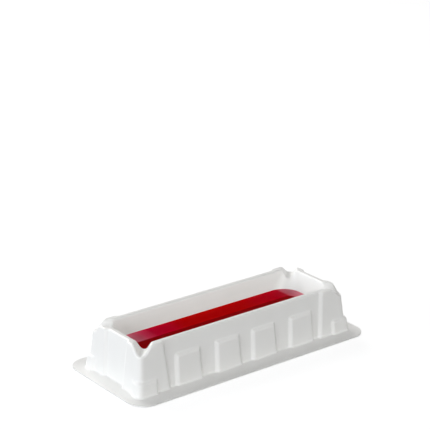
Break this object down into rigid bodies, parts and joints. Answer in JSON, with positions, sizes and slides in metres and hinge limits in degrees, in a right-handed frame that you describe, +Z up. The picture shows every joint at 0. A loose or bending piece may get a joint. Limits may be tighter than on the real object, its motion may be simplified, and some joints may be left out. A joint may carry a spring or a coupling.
{
  "type": "reagent reservoir",
  "caption": "Long open basin with a narrow trough, a pouring spout at each corner, a ribbed skirt and a flat flange, part filled with red liquid.",
  "frame": {"origin": "on the ground, under the middle of the basin, where the flange rests", "axes": "+X along the length of the basin, +Y across it, +Z up"},
  "size_m": [0.16, 0.071, 0.0275],
  "materials": {
    "white_sheet": "satin white vacuum-formed polystyrene sheet",
    "red_liquid": "clear deep red liquid, still surface"
  },
  "bodies": {
    "root": {"reservoir": "white_sheet", "red_reagent": "red_liquid"}
  },
  "joints": []
}
